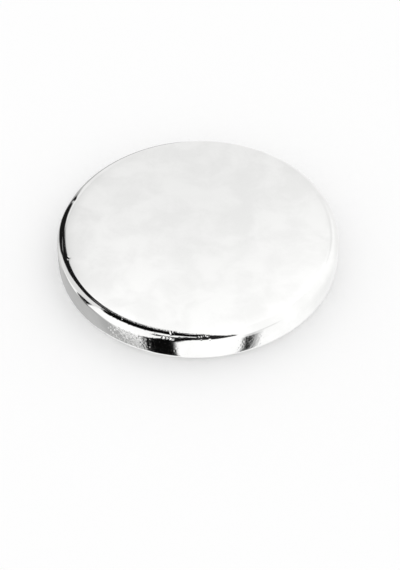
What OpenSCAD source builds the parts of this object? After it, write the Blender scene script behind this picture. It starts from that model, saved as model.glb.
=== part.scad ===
// Disc magnet: one solid disc of sintered magnet alloy, pressed, sintered,
// ground flat, edge-broken and bright nickel plated all over. The plating is
// a skin of about 0.02 mm and is part of the solid.
// Frame: millimetres, +Z up. The disc lies on z = 0 with its axis on Z.

/* [Disc] */
// Diameter of the disc
disc_d = 25; // [12:0.5:80]
// Thickness of the disc, from face to face
disc_t = 3; // [2.5:0.1:20]

/* [Edge] */
// Leg of the 45 degree chamfer, measured along the face and along the side
edge_c = 0.5; // [0.1:0.05:0.65]
// How much of the chamfer its two rounded corners take up: 1 leaves no flat
edge_round = 0.6; // [0.1:0.05:1]

/* [Finish] */
// Colour of the bright nickel plating
plate_colour = "gainsboro"; // [gainsboro, silver, lightgrey]

/* [Hidden] */
$fn = 180;

disc_r = disc_d / 2;
// A corner of the chamfer turns the surface through 45 degrees.
corner_turn = 45;
// Length from a sharp corner to where its rounding starts
corner_tangent = edge_round * edge_c / sqrt(2);
// Radius of that rounding
corner_r = corner_tangent / tan(corner_turn / 2);
// The same length measured along the face or the side, on the chamfer itself
corner_step = corner_tangent * cos(corner_turn);
// Where the flat face and the straight side end
face_r = disc_r - edge_c - corner_tangent;
side_z = edge_c + corner_tangent;

// Lower right quarter of the section: straight lines between the ends of the
// roundings, and one circle inside each corner that touches those ends.
module edge_section() {
    polygon([
        [0, 0],
        [face_r, 0],
        [disc_r - edge_c + corner_step, corner_step],
        [disc_r - corner_step, edge_c - corner_step],
        [disc_r, side_z],
        [disc_r, disc_t / 2],
        [0, disc_t / 2],
    ]);
    translate([face_r, corner_r]) circle(r = corner_r);
    translate([disc_r - corner_r, side_z]) circle(r = corner_r);
}

// Whole right-hand section: the quarter and its mirror image above mid height,
// with nothing left of the axis.
module disc_section() {
    intersection() {
        union() {
            edge_section();
            translate([0, disc_t]) mirror([0, 1]) edge_section();
        }
        square([disc_r, disc_t]);
    }
}

// The magnet itself, one turned solid with the same edge on both faces
module magnet_disc() {
    color(plate_colour)
        rotate_extrude() disc_section();
}

magnet_disc();
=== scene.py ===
import math

import bpy
import numpy as np
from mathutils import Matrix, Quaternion, Vector


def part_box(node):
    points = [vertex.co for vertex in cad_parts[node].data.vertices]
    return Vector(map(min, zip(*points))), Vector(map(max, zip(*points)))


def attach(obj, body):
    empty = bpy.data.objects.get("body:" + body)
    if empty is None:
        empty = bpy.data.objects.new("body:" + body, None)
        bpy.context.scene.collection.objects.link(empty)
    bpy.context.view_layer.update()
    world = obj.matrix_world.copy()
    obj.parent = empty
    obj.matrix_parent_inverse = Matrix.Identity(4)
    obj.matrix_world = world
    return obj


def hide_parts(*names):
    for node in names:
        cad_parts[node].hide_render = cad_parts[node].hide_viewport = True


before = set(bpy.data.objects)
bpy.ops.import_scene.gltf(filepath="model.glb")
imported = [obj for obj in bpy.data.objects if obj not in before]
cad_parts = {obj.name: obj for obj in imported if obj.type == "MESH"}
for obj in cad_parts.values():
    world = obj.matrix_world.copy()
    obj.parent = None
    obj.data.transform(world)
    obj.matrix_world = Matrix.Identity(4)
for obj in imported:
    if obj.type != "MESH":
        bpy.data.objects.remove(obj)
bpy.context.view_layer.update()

# --- Camera -------------------------------------------------------------------
# A long lens a hand's length away looks down on the disc from the front. It is
# aimed a little in front of the disc's middle, and held slightly out of level.
MM = 0.001
lens_mm = 128.0
camera_elevation = math.radians(47.05)
camera_roll = math.radians(-1.5)
camera_distance = 179.5 * MM
camera_aim = Vector((0.1, -3.5, 0.0)) * MM

looking = Vector((0.0, math.cos(camera_elevation), -math.sin(camera_elevation)))
camera_data = bpy.data.cameras.new("camera")
camera_data.lens = lens_mm
camera_data.clip_start = 10 * MM
camera = bpy.data.objects.new("camera", camera_data)
bpy.context.scene.collection.objects.link(camera)
camera.location = camera_aim - camera_distance * looking
camera.rotation_mode = "QUATERNION"
camera.rotation_quaternion = looking.to_track_quat("-Z", "Y") @ Quaternion((0, 0, 1), camera_roll)
bpy.context.scene.camera = camera
bpy.context.scene.view_settings.view_transform = "Standard"

# --- The magnet ---------------------------------------------------------------
# One disc of sintered magnet alloy. Its faces and its side are ground, its
# edges are chamfered and tumbled round, and bright nickel is plated all over.
low_corner, high_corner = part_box("magnet_disc")
disc_r = (high_corner.x - low_corner.x) / 2
disc_t = high_corner.z - low_corner.z

upper_corner = 0.60 * MM                  # lengths along the edge: from the face to the chamfer,
chamfer_flat = 0.20 * MM                  # the chamfer,
lower_corner = 0.40 * MM                  # and from the chamfer to the side
chamfer_crown = math.radians(3)           # tumbling leaves the chamfer this much short of flat
rolloff_width = 0.8 * MM                  # and wears the face down a little near its edge
rolloff_slope = math.radians(0.8)
corner_focus = 0.45                       # share by which a corner turns faster at its middle
side_swell = 0.015 * MM                   # the side is this much fuller at mid height
side_lean = math.radians(2.0)             # so it leans about this much where it meets the edges

around = 1280                             # points round the disc
face_rows = 4                             # rows of points from the middle of a face to its edge
side_rows = 8                             # and down the side, between the two edges
lower_fineness = 0.4                      # rows on the lower edge, as a share of the upper one's


def edge_path(fineness):
    """Radius and height from the flat of the face to the top of the side, as the running
    sum of short steps. The slope turns from each stretch's start to its end in even parts,
    less a sine wave that makes the corners tightest at their middle."""
    upper_slope = math.radians(45) - chamfer_crown
    lower_slope = math.radians(45) + chamfer_crown
    stretches = [                         # length, slope at its start and end, number of steps
        (rolloff_width, 0.0, rolloff_slope, 5),
        (upper_corner, rolloff_slope, upper_slope, 18),
        (chamfer_flat, upper_slope, lower_slope, 5),
        (lower_corner, lower_slope, math.radians(90) - side_lean, 14),
    ]
    slope, step = [], []
    for length, start, end, steps in stretches:
        count = round(steps * fineness)
        share = (np.arange(count) + 0.5) / count
        share = share - corner_focus * np.sin(2 * math.pi * share) / (2 * math.pi)
        slope.append(start + (end - start) * share)
        step.append(np.full(count, length / count))
    slope = np.concatenate(slope)
    step = np.concatenate(step)
    radius = np.concatenate([[0.0], np.cumsum(step * np.cos(slope))])
    height = np.concatenate([[0.0], -np.cumsum(step * np.sin(slope))])
    return np.stack([radius + disc_r - side_swell - radius[-1], height + disc_t])


def disc_section():
    """Radius and height of the whole section, from near the middle of the upper face out
    over the edge, down the side and back in under the lower face. The side bulges by a
    parabola, and the lower half is the upper one's mirror image with fewer points."""
    upper_edge = edge_path(1.0)
    lower_edge = edge_path(lower_fineness)
    face_radius = np.linspace(0.0, upper_edge[0, 0], face_rows + 2)[1:-1]
    face = np.stack([face_radius, np.full(face_rows, disc_t)])
    upper = np.concatenate([face, upper_edge], axis=1)
    lower = np.concatenate([face, lower_edge], axis=1)[:, ::-1]
    lower = np.stack([lower[0], disc_t - lower[1]])
    share = np.linspace(-1, 1, side_rows + 2)[1:-1]
    half_height = upper_edge[1, -1] - disc_t / 2
    side = np.stack([disc_r - side_swell * share ** 2, disc_t / 2 - half_height * share])
    return np.concatenate([upper, side, lower], axis=1)


def turned(section, count):
    """Points of the section carried round the axis: at each angle, the sine and cosine
    times the radius, with the height unchanged. Rows follow the section."""
    angle = np.arange(count) * 2 * math.pi / count
    radius, height = section[0][:, None], section[1][:, None]
    return np.stack([radius * np.sin(angle), -radius * np.cos(angle), height + 0 * angle], axis=-1)


def closed_faces(rows, columns):
    """Quads between neighbouring rows of a turned grid, wound to face outwards, and the
    two fans of triangles that close its ends on the last two points."""
    row, column = np.meshgrid(np.arange(rows - 1), np.arange(columns), indexing="ij")
    beside = (column + 1) % columns
    quads = np.stack([row * columns + column, (row + 1) * columns + column,
                      (row + 1) * columns + beside, row * columns + beside], axis=-1).reshape(-1, 4)
    first = np.arange(columns)
    second = (first + 1) % columns
    top, bottom = rows * columns, rows * columns + 1
    last_row = (rows - 1) * columns
    top_fan = np.stack([np.full(columns, top), first, second], axis=-1)
    bottom_fan = np.stack([np.full(columns, bottom), last_row + second, last_row + first], axis=-1)
    return quads.tolist() + top_fan.tolist() + bottom_fan.tolist()


def rise(value, start, end):
    """0 below start, 1 above end, and an S-shaped curve between: three times the square of
    the share of the way, less two times its cube."""
    share = np.clip((value - start) / (end - start), 0, 1)
    return share * share * (3 - 2 * share)


def band(value, start, end, soft):
    """1 between start and end, falling to 0 over the soft width outside each: one rise,
    times one less the other."""
    return rise(value, start - soft, start) * (1 - rise(value, end, end + soft))


def along_stops(value, stops):
    """Straight lines from stop to stop, each a place and the amount there, and level beyond
    the first and the last."""
    places, amounts = zip(*stops)
    return np.interp(value, places, amounts)


# Knocks on the upper edge: azimuth in degrees, 0 at the front and growing to the right, then
# in mm the distance out over the edge from the flat of the face, the half width round the
# disc, the half width over the edge, and the depth.
knocks = [
    (-112.8, 1.16, 0.30, 0.15, 0.027),
    (-76.8, 0.91, 0.18, 0.10, 0.014),
    (-34.0, 1.15, 0.08, 0.08, 0.028),
    (-12.0, 1.02, 0.08, 0.07, 0.030),
    (-11.5, 1.16, 0.10, 0.09, 0.042),
    (-10.9, 1.03, 0.08, 0.08, 0.034),
    (-10.3, 1.15, 0.08, 0.06, 0.020),
    (-0.8, 1.30, 0.05, 0.06, 0.014),
    (1.2, 1.28, 0.06, 0.06, 0.018),
    (3.2, 1.30, 0.07, 0.06, 0.018),
    (-14.9, 1.60, 0.09, 0.08, 0.026),
    (-13.5, 1.62, 0.08, 0.07, 0.022),
    (-12.3, 1.64, 0.09, 0.08, 0.028),
]
wear_depth = 0.008                        # deepest general wear of the edges, in mm
wear_cycles = range(8, 60, 4)             # how often each of its waves repeats round the disc
wear_seed = 7


def worn(grid, section):
    """The grid pushed in along the section's normal: by a Gaussian dent at each knock, and
    over both edges by a few microns that vary round the disc. That is a sum of cosine
    waves at random phases, each over the square root of its cycles, spread from 0 to 1."""
    along = np.gradient(section, axis=1)
    along = along / np.hypot(along[0], along[1])
    out, up = -along[1], along[0]                         # the section's outward normal
    distance = np.concatenate([[0.0], np.cumsum(np.hypot(*np.diff(section, axis=1)))])
    distance = (distance - distance[face_rows])[:, None] / MM
    azimuth = np.degrees(np.arctan2(grid[0, :, 0], -grid[0, :, 1]))[None, :]
    depth = np.zeros(grid.shape[:2])
    for centre, over, half_width, half_height, deep in knocks:
        across = (azimuth - centre) * math.radians(disc_r / MM)
        depth += deep * np.exp(-(across / half_width) ** 2 - ((distance - over) / half_height) ** 2)
    chance = np.random.default_rng(wear_seed)
    waves = np.zeros(grid.shape[1])
    for cycles in wear_cycles:
        phase = chance.uniform(0, 2 * math.pi)
        waves += np.cos(cycles * np.radians(azimuth[0]) + phase) / cycles ** 0.5
    waves = (waves - waves.min()) / np.ptp(waves)
    slanted = rise(np.abs(out), 0.02, 0.5) * rise(np.abs(up), 0.02, 0.5)    # 0 on face and side
    depth += wear_depth * slanted[:, None] * waves
    radial = grid[..., :2] / np.linalg.norm(grid[..., :2], axis=-1, keepdims=True)
    upward = np.broadcast_to(up[:, None, None], depth.shape + (1,))
    normal = np.concatenate([radial * out[:, None, None], upward], axis=-1)
    return grid - normal * depth[..., None] * MM


def new_piece(name, points, faces):
    """A smooth-shaded mesh object at the origin."""
    mesh = bpy.data.meshes.new(name)
    mesh.from_pydata(points.reshape(-1, 3).tolist(), [], faces)
    mesh.polygons.foreach_set("use_smooth", np.ones(len(mesh.polygons), bool))
    mesh.update()
    piece = bpy.data.objects.new(name, mesh)
    bpy.context.scene.collection.objects.link(piece)
    return piece


section = disc_section()
grid = turned(section, around)
ends = np.array([[0, 0, disc_t], [0, 0, 0]])
points = np.concatenate([worn(grid, section).reshape(-1, 3), ends])
magnet = new_piece("nickel_disc", points, closed_faces(len(grid), around))

# How strongly each flaw of the surface shows at each point, by azimuth and by how far in
# from the rim it is in mm. Small pits come and go round the front of the side and the edges.
# A coarse skin does so on the side and where the faces turn over into their edges. Grain is
# on the side and both edges all the way round. Each stop is an azimuth and a strength.
turn = np.degrees(np.arctan2(points[:, 0], -points[:, 1]))
inset = (disc_r - np.hypot(points[:, 0], points[:, 1])) / MM
on_edge = 1 - rise(inset, 0.60, 0.80)
on_side = 1 - rise(inset, 0.01, 0.06)
face_rim = band(inset, 0.64, 0.74, 0.08)
side_pits = along_stops(turn, [(-44, 0), (-38, 1.5), (-28, 1.5), (-23, 1.1), (-20.5, 0.4),
                               (-18, 0.15), (-9, 0.1), (13, 0.1), (17, 0.3), (25, 0.3), (30, 0)])
edge_pits = along_stops(turn, [(-46, 0), (-38, 0.2), (-14, 0.2), (-12, 0.9), (-9, 0.9), (-7, 0.2),
                               (-1, 0.2), (1, 0.9), (4.5, 0.9), (6.5, 0)])
side_skin = along_stops(turn, [(-40, 0), (-34, 0.5), (-24, 0.5), (-21, 0.12), (-17, 0.05), (14, 0),
                               (17, 0.12), (25, 0.12), (30, 0)])
face_skin = along_stops(turn, [(-46, 0), (-40, 0.5), (-10, 0.5), (-6, 0)])
flaws = {
    "pitted": on_side * side_pits + (on_edge - on_side) * edge_pits,
    "coarse": face_rim * face_skin + on_side * side_skin,
    "on_edge": on_edge,
}
for flaw, strength in flaws.items():
    magnet.data.attributes.new(flaw, "FLOAT", "POINT").data.foreach_set("value", strength)

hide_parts("magnet_disc")
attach(magnet, "root")


def linear(hex_colour):
    """An sRGB hex colour as linear red, green, blue and alpha, by the sRGB curve."""
    parts = np.array([int(hex_colour[i:i + 2], 16) for i in (1, 3, 5)]) / 255
    parts = np.where(parts <= 0.04045, parts / 12.92, ((parts + 0.055) / 1.055) ** 2.4)
    return (*parts.tolist(), 1.0)


def add(tree, kind, inputs=None, **settings):
    """Adds a node. Settings are its own properties, and inputs are values or sockets to link."""
    made = tree.nodes.new(kind)
    for name, value in settings.items():
        setattr(made, name, value)
    for name, value in (inputs or {}).items():
        if isinstance(value, bpy.types.NodeSocket):
            tree.links.new(value, made.inputs[name])
        else:
            made.inputs[name].default_value = value
    return made


# Bright nickel, electroplated over a ground and tumbled blank. It is a mirror with a faint
# grey cast. The plate swells a little and is softly clouded by haze. The edges and the side
# keep the grain and small pits of the blank, and where its skin was coarse the plate is
# lumpy and frosted.
hazy_colour = linear("#E9E9E8")
clear_colour = linear("#F0F0EF")
hazy_roughness = 0.08
clear_roughness = 0.055
cloud_size = 3.2 * MM
cloud_range = (0.35, 0.65)                # noise from all hazy to all clear
swell_size = 2.6 * MM
swell_height = 0.0020 * MM
grain_size = 0.16 * MM                    # true grinding grain is finer, but would not show
grain_height = 0.0012 * MM
lump_size = 0.22 * MM
lump_height = 0.032 * MM
frost_size = 0.15 * MM                    # true frosting is finer, but would not show
frost_range = (0.48, 0.66)                # noise from bright to fully frosted
frost_roughness = 0.70
pit_spacing = 0.34 * MM
pit_reach = 0.40                          # radius of a pit, as a share of their spacing
pit_depth = 0.0130 * MM

nickel = bpy.data.materials.new("bright_nickel_plate")
nickel.use_nodes = True
tree = nickel.node_tree
shader = tree.nodes["Principled BSDF"]
place = add(tree, "ShaderNodeTexCoord").outputs["Object"]
pitted = add(tree, "ShaderNodeAttribute", attribute_name="pitted").outputs["Fac"]
coarse = add(tree, "ShaderNodeAttribute", attribute_name="coarse").outputs["Fac"]
on_edge = add(tree, "ShaderNodeAttribute", attribute_name="on_edge").outputs["Fac"]

clouds = add(tree, "ShaderNodeTexNoise", {
    "Vector": place, "Scale": 1 / cloud_size, "Detail": 4.0, "Roughness": 0.55, "Distortion": 0.3,
}).outputs["Fac"]
clear = add(tree, "ShaderNodeMapRange", {
    "Value": clouds, "From Min": cloud_range[0], "From Max": cloud_range[1],
}, interpolation_type="SMOOTHSTEP").outputs["Result"]
colour = add(tree, "ShaderNodeMix", {
    "Factor": clear, "A": hazy_colour, "B": clear_colour,
}, data_type="RGBA")
haze = add(tree, "ShaderNodeMapRange", {
    "Value": clear, "To Min": hazy_roughness, "To Max": clear_roughness,
}).outputs["Result"]
frost = add(tree, "ShaderNodeTexNoise", {
    "Vector": place, "Scale": 1 / frost_size, "Detail": 1.0,
}).outputs["Fac"]
frost = add(tree, "ShaderNodeMapRange", {
    "Value": frost, "From Min": frost_range[0], "From Max": frost_range[1],
    "To Max": frost_roughness,
}, interpolation_type="SMOOTHSTEP").outputs["Result"]
rough = add(tree, "ShaderNodeMath", {0: frost, 1: coarse, 2: haze}, operation="MULTIPLY_ADD")

pits = add(tree, "ShaderNodeTexVoronoi", {
    "Vector": place, "Scale": 1 / pit_spacing,
}).outputs["Distance"]
pits = add(tree, "ShaderNodeMapRange", {
    "Value": pits, "From Max": pit_reach, "To Min": -pit_depth, "To Max": 0.0,
}, interpolation_type="SMOOTHSTEP").outputs["Result"]
swell = add(tree, "ShaderNodeTexNoise", {
    "Vector": place, "Scale": 1 / swell_size, "Detail": 1.0,
}).outputs["Fac"]
grain = add(tree, "ShaderNodeTexNoise", {
    "Vector": place, "Scale": 1 / grain_size, "Detail": 2.0,
}).outputs["Fac"]
grain = add(tree, "ShaderNodeMath", {0: grain, 1: on_edge}, operation="MULTIPLY").outputs[0]
lumps = add(tree, "ShaderNodeTexNoise", {
    "Vector": place, "Scale": 1 / lump_size, "Detail": 1.0,
}).outputs["Fac"]
lumps = add(tree, "ShaderNodeMath", {0: lumps, 1: coarse}, operation="MULTIPLY").outputs[0]
height = add(tree, "ShaderNodeMath", {0: pits, 1: pitted}, operation="MULTIPLY").outputs[0]
for relief, relief_height in ((swell, swell_height), (grain, grain_height), (lumps, lump_height)):
    height = add(tree, "ShaderNodeMath", {
        0: relief, 1: relief_height, 2: height,
    }, operation="MULTIPLY_ADD").outputs[0]
bump = add(tree, "ShaderNodeBump", {"Height": height, "Distance": 1.0})
tree.links.new(colour.outputs["Result"], shader.inputs["Base Color"])
tree.links.new(rough.outputs[0], shader.inputs["Roughness"])
tree.links.new(bump.outputs["Normal"], shader.inputs["Normal"])
shader.inputs["Metallic"].default_value = 1.0
magnet.data.materials.append(nickel)

# --- The floor ----------------------------------------------------------------
# A wide sheet of matt white paper that the disc lies on. It takes the disc's
# shadow, and reflections in the plate look through it to the tent.
floor_half = 3.0                          # metres each way from the disc
floor_drop = 0.01 * MM                    # just clear of the disc's lower face
corners = np.array([[-1, -1, 0], [1, -1, 0], [1, 1, 0], [-1, 1, 0]]) * floor_half
floor = new_piece("floor", corners - np.array([0, 0, floor_drop]), [[0, 1, 2, 3]])

paper = bpy.data.materials.new("white_paper")
paper.use_nodes = True
tree = paper.node_tree
tree.nodes.clear()
matt = add(tree, "ShaderNodeBsdfDiffuse", {"Color": linear("#FEFEFE")})
clear = add(tree, "ShaderNodeBsdfTransparent")
ray = add(tree, "ShaderNodeLightPath")
mix = add(tree, "ShaderNodeMixShader", {
    0: ray.outputs["Is Glossy Ray"], 1: matt.outputs[0], 2: clear.outputs[0],
})
add(tree, "ShaderNodeOutputMaterial", {"Surface": mix.outputs[0]})
floor.data.materials.append(paper)

# --- The light tent -----------------------------------------------------------
# White cloth all round the disc, hung where only reflections see it, with grey
# cards, a dark room beyond its open side, and the camera and its stand in front.
# Azimuth is 0 towards the camera and grows to the right. Angles are in degrees.
tent_r = 20.0                             # metres, so far off that the disc's size is nothing to it
tent_step = 1.0                           # degrees from each row or column of points to the next
open_tone = 1.18                          # the lit cloth: a shade over white, as nickel returns 85%
dark = 0.02                               # the camera and its arm
black = 0.003                             # the near leg and the clamp


def tent_tone(azimuth, elevation):
    """Brightness of the tent in each direction: the open cloth, with each panel laid over
    what came before it by as much as its mask says."""
    behind = 180 - np.abs(azimuth)                        # degrees away from straight behind
    rightward = np.cos(np.radians(elevation)) * np.sin(np.radians(azimuth))
    forward = np.cos(np.radians(elevation)) * np.cos(np.radians(azimuth))

    # outlines, each an angle that changes with the other one
    skyline = along_stops(azimuth, [
        (-152, -30), (-134, -5), (-125, 7), (-121, 18), (-116, 24), (-112, 38), (-106, 44),
        (-101, 56.5), (-87, 42), (-79, 36), (-75, 37), (-69, 43), (-53, 48), (-44, 51), (-37, 56),
        (-20, 56), (0, 54)])
    door_side = along_stops(elevation, [
        (16, -154.5), (32, -154), (38, -156), (43, -164), (45, -168), (46, -170), (47.5, -165),
        (52.5, -164), (55, -172), (60, -173), (63, -169), (70, -166), (80, -170)])
    ceiling_foot = 56.5 - 0.12 * (azimuth + 135)
    wall_foot = 4 + 0.75 * (azimuth + 112)
    card_left = -115 - 42 * np.clip(-elevation / 45, 0, 1) ** 3
    card_right = along_stops(elevation, [(-54, -50), (-43, -72)])
    card_top = along_stops(azimuth, [(-110, 0), (-100, -4), (-80, 0), (-68, -14), (-50, -40)])
    arm_end = along_stops(elevation, [(38, 26.5), (49, 21.3), (90, -7.4)])
    strut_foot = 36.8 + 0.15 * (azimuth + 30)
    leg_left = along_stops(elevation, [(-48, -47), (-10, -33), (20, -28), (38, -18)])
    leg_right = along_stops(elevation, [(-48, -20), (-10, -15), (25, -12), (38, -4)])
    far_leg_left = along_stops(elevation, [(-48, 37), (-25, 34)])
    far_leg_right = along_stops(elevation, [(-48, 43), (-25, 38)])
    clamp_reach = np.clip(azimuth + 97, 0, 12)

    # where the larger panels are, as masks from 0 to 1
    above_table = rise(elevation, -64, -60)
    back_wall = (1 - rise(behind, 25, 50)) * rise(elevation, -15, 0)
    left_fold = rise(azimuth, -178, -171) * (1 - rise(azimuth, -120, -110))
    left_half = 1 - rise(rightward - 0.14 * forward, -0.01, 0.04)
    dark_room = left_half * rise(elevation - skyline, -2, 2) * rise(azimuth - door_side, -4, 3)
    left_wall = band(azimuth, -130, -86, 3) * rise(elevation - wall_foot, -3, 3)
    grey_card = rise(azimuth, card_left - 3, card_left + 3)
    grey_card *= 1 - rise(azimuth - card_right, -9, 9)
    grey_card *= (1 - rise(elevation - card_top, -2, 2)) * rise(elevation, -60, -57)
    left_of_arm_end = 1 - rise(azimuth - arm_end, -2, 2)
    near_leg = rise(azimuth - leg_left, -2, 0.5) * (1 - rise(azimuth - leg_right, -2, 2))
    near_leg *= (1 - rise(elevation, 38, 41)) * above_table
    far_leg = rise(azimuth - far_leg_left, -5, 1) * (1 - rise(azimuth - far_leg_right, -2, 4))
    far_leg_rim = rise(azimuth - far_leg_right, -4, 0) * (1 - rise(azimuth - far_leg_right, 4, 9))
    far_leg_height = (1 - rise(elevation, 10, 20)) * above_table
    clamp = rise(elevation - 6 + 2.2 * clamp_reach, -1, 2)
    clamp *= 1 - rise(elevation - 15 - 1.1 * clamp_reach, -2, 1)
    clamp *= 1 - band(elevation, 1.8, 3.2, 0.8)

    # tones that change over a panel
    wall_tone = 0.965 + 0.205 * rise(elevation, 43.9, 49.2)
    wall_tone += 0.062 * rise(behind, 1, 4.5) * rise(elevation, 42.5, 45)
    card_tone = 0.55 - 0.10 * rise(azimuth, -95, -80)
    room_tone = 0.011 - 0.008 * rise(azimuth, -115, -100)
    far_rim_tone = 0.55 + 0.4 * rise(elevation, -40, -15)
    far_leg_tone = dark + 0.7 * rise(elevation, -40, -15)

    panels = [                                            # tone, mask
        # the back wall, greyer low down and straight behind, and a greyer fold at its left
        (wall_tone, back_wall),
        (0.66, 0.6 * left_fold * band(elevation, 42, 46.5, 3)),
        # pale cloth low behind, greyer sheets low on the left, and pale cloth on the right
        (0.99, (1 - rise(behind, 25, 80)) * (1 - rise(elevation, -40, -20))),
        (0.96, band(azimuth, -176, -140, 3) * band(elevation, -15, 38, 5)),
        (0.74, band(azimuth, -176, -142, 3) * band(elevation, -45, -22, 6)),
        (0.50, band(azimuth, -177, -157, 3) * band(elevation, -48, -10, 6)),
        (0.74, band(azimuth, -142, -104, 6) * band(elevation, -45, -4, 4)),
        (0.98, rise(azimuth, 60, 170) * (1 - rise(elevation, -6, 20))),
        (0.95, band(azimuth, 38, 52, 8) * band(elevation, 10, 20, 6)),
        # two grey cards low on the left, the left wall, and a pale strip where its clamp is open
        (0.80, band(azimuth, -80, -54, 8) * band(elevation, -58, -45, 3)),
        (card_tone, grey_card),
        (0.88, left_wall * (1 - rise(elevation, 55, 58))),
        (0.95, band(azimuth, -95, -85, 2) * band(elevation, 1.6, 3.4, 2)),
        # the dark room beyond the open side and top of the tent, with its dim ceiling, a lit
        # window, and a skylight straight overhead
        (room_tone, dark_room),
        (0.18, band(azimuth, -171, -124, 2) * rise(elevation - ceiling_foot, -1.5, 1)),
        (0.38, band(azimuth, -139, -131, 1) * band(elevation, 23, 26, 1)),
        (1.00, rise(elevation, 85.4, 86.4)),
        # the camera in front, a strut beside it and its arm overhead
        (dark, band(azimuth, -14, 60, 5) * left_of_arm_end * band(elevation, 35.5, 49, 1.5)),
        (0.01, band(azimuth, -37.5, -10, 1.5) * band(elevation - strut_foot, -0.6, 6.4, 0.8)),
        (dark, rise(azimuth, -4, 0) * left_of_arm_end * rise(elevation, 38, 40)),
        # the two legs of its stand, the far one with a paler rim, and the clamp on the left wall
        (black, near_leg),
        (far_rim_tone, far_leg_rim * far_leg_height),
        (far_leg_tone, far_leg * far_leg_height),
        (black, band(azimuth, -96.5, -86, 1.5) * clamp),
    ]
    tone = np.full(azimuth.shape, open_tone)
    for shade, mask in panels:
        tone += (shade - tone) * mask
    return tone


tent_rows = np.radians(np.arange(90 - tent_step, -90, -tent_step))
tent_columns = round(360 / tent_step)
tent_grid = turned(np.stack([np.cos(tent_rows), np.sin(tent_rows)]) * tent_r, tent_columns)
tent_points = np.concatenate([tent_grid.reshape(-1, 3), [[0, 0, tent_r], [0, 0, -tent_r]]])
tent = new_piece("light_tent", tent_points, closed_faces(len(tent_rows), tent_columns))
tent_azimuth = np.degrees(np.arctan2(tent_points[:, 0], -tent_points[:, 1]))
tent_elevation = np.degrees(np.arcsin(np.clip(tent_points[:, 2] / tent_r, -1, 1)))
tone = tent.data.attributes.new("tone", "FLOAT", "POINT")
tone.data.foreach_set("value", tent_tone(tent_azimuth, tent_elevation))
tent.visible_camera = False
tent.visible_diffuse = False
tent.visible_shadow = False
tent.visible_transmission = False

# White cloth and cards, lit from outside, so that each point glows as its tone says. Only
# reflections see them, and they light nothing themselves.
cloth = bpy.data.materials.new("tent_cloth")
cloth.use_nodes = True
cloth.cycles.emission_sampling = "NONE"
tree = cloth.node_tree
tree.nodes.clear()
read = add(tree, "ShaderNodeAttribute", attribute_name="tone")
glow = add(tree, "ShaderNodeEmission", {"Strength": read.outputs["Fac"]})
add(tree, "ShaderNodeOutputMaterial", {"Surface": glow.outputs[0]})
tent.data.materials.append(cloth)

# --- Room light ---------------------------------------------------------------
# Even white light from all round, as a cloth tent gives. It is at the level
# where white paper renders white.
world = bpy.data.worlds.new("white_room")
bpy.context.scene.world = world
world.use_nodes = True
world.node_tree.nodes["Background"].inputs["Color"].default_value = (1, 1, 1, 1)
world.node_tree.nodes["Background"].inputs["Strength"].default_value = 1.0
